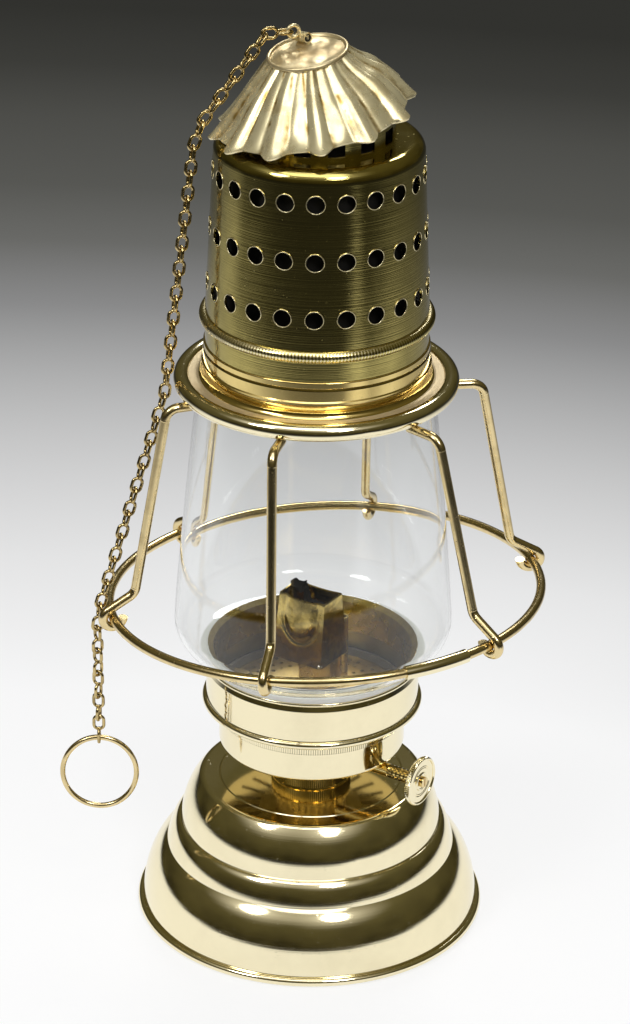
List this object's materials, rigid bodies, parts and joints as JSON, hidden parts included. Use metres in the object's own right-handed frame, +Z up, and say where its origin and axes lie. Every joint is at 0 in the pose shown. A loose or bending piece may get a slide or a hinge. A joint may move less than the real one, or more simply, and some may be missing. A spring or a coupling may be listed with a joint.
{
  "type": "hurricane lantern",
  "caption": "Brass hand lantern with a spun oil font, flat-wick burner, clear globe in a wire guard, perforated hood with a fluted crown, and a jack chain with a finger ring.",
  "frame": {"origin": "middle of the flat foot, on the surface the lantern stands on", "axes": "+Z up along the lantern's axis, -Y towards the viewer, +X to the viewer's right"},
  "size_m": [0.1481, 0.1359, 0.2859],
  "materials": {
    "polished_brass": "polished, hand worn",
    "hood_brass": "turned and slightly tarnished",
    "crown_brass": "worn and dented",
    "wire_brass": "drawn wire, satin",
    "chain_brass": "dark with age",
    "burner_brass": "heat dulled",
    "spur_steel": "cut teeth, dull",
    "clear_glass": "clear, blown",
    "seal_cement": "matt plaster, darkened by lamp smoke",
    "wick_cotton": "woven cotton, charred at its end"
  },
  "bodies": {
    "font": {"font_shell": "polished_brass", "font_base_plate": "burner_brass", "font_screw_collar": "polished_brass"},
    "burner": {"burner_neck": "burner_brass", "burner_cup": "polished_brass", "air_plate": "burner_brass", "wick_tube": "burner_brass", "flame_deflector": "burner_brass", "vent_tube": "burner_brass", "spindle_sleeve": "polished_brass"},
    "wick_winder": {"wick_spindle": "wire_brass", "spur_wheels": "spur_steel", "thumb_knob": "polished_brass"},
    "wick_strip": {"wick": "wick_cotton"},
    "globe_frame": {"globe_collar": "polished_brass", "lower_seal": "seal_cement", "glass_globe": "clear_glass", "upper_seal": "seal_cement", "top_flange": "polished_brass", "guard_wire_1": "wire_brass", "guard_wire_2": "wire_brass", "guard_wire_3": "wire_brass", "guard_wire_4": "wire_brass", "guard_wire_5": "wire_brass", "guard_wire_6": "wire_brass", "guard_hoop": "wire_brass", "hoop_ferrule": "polished_brass"},
    "hood": {"hood_shell": "hood_brass", "wind_liner": "hood_brass", "vent_neck": "hood_brass", "crown": "crown_brass", "crown_disc": "crown_brass", "top_eye": "wire_brass"},
    "chain_on_crown": {"chain_crown": "chain_brass"},
    "chain_by_hood": {"chain_upper": "chain_brass"},
    "chain_by_globe": {"chain_lower": "chain_brass"},
    "chain_end": {"chain_tail": "chain_brass"},
    "ring": {"finger_ring": "wire_brass"}
  },
  "joints": [
    {"name": "burner_lift", "type": "slide", "parent": "font", "child": "burner", "axis": [0, 0, 1], "range_m": [0, 0.045]},
    {"name": "knob_turn", "type": "hinge", "parent": "burner", "child": "wick_winder", "pos_m": [-0.00055, -0.00084, 0.055], "axis": [0.8387, -0.5446, 0], "range_deg": [-88.15, 132.22]},
    {"name": "wick_raise", "type": "slide", "parent": "burner", "child": "wick_strip", "axis": [0, 0, 1], "range_m": [-0.0041, 0.0061]},
    {"name": "globe_lift", "type": "slide", "parent": "burner", "child": "globe_frame", "axis": [0, 0, 1], "range_m": [0, 0.02]},
    {"name": "hood_lift", "type": "slide", "parent": "globe_frame", "child": "hood", "axis": [0, 0, 1], "range_m": [0, 0.025]},
    {"name": "chain_at_eye", "type": "hinge", "parent": "hood", "child": "chain_on_crown", "pos_m": [-0.00831, 0.00589, 0.2836], "axis": [-0.3256, 0.9455, 0], "range_deg": [0, 80]},
    {"name": "chain_at_brim", "type": "hinge", "parent": "chain_on_crown", "child": "chain_by_hood", "pos_m": [-0.03608, -0.00367, 0.25209], "axis": [-0.3256, 0.9455, 0], "range_deg": [0, 60]},
    {"name": "chain_at_flange", "type": "hinge", "parent": "chain_by_hood", "child": "chain_by_globe", "pos_m": [-0.0446, -0.00661, 0.17562], "axis": [-0.3256, 0.9455, 0], "range_deg": [0, 60]},
    {"name": "chain_at_hoop", "type": "hinge", "parent": "chain_by_globe", "child": "chain_end", "pos_m": [-0.06491, -0.0136, 0.10177], "axis": [-0.5476, 0.8368, 0], "range_deg": [0, 45]},
    {"name": "ring_swing", "type": "hinge", "parent": "chain_end", "child": "ring", "pos_m": [-0.06491, -0.0136, 0.06357], "axis": [1, 0, 0], "range_deg": [-60, 60]}
  ],
  "couplings": [
    {"joint": "wick_raise", "follows": "knob_turn", "m_per_rad": 0.0026}
  ]
}
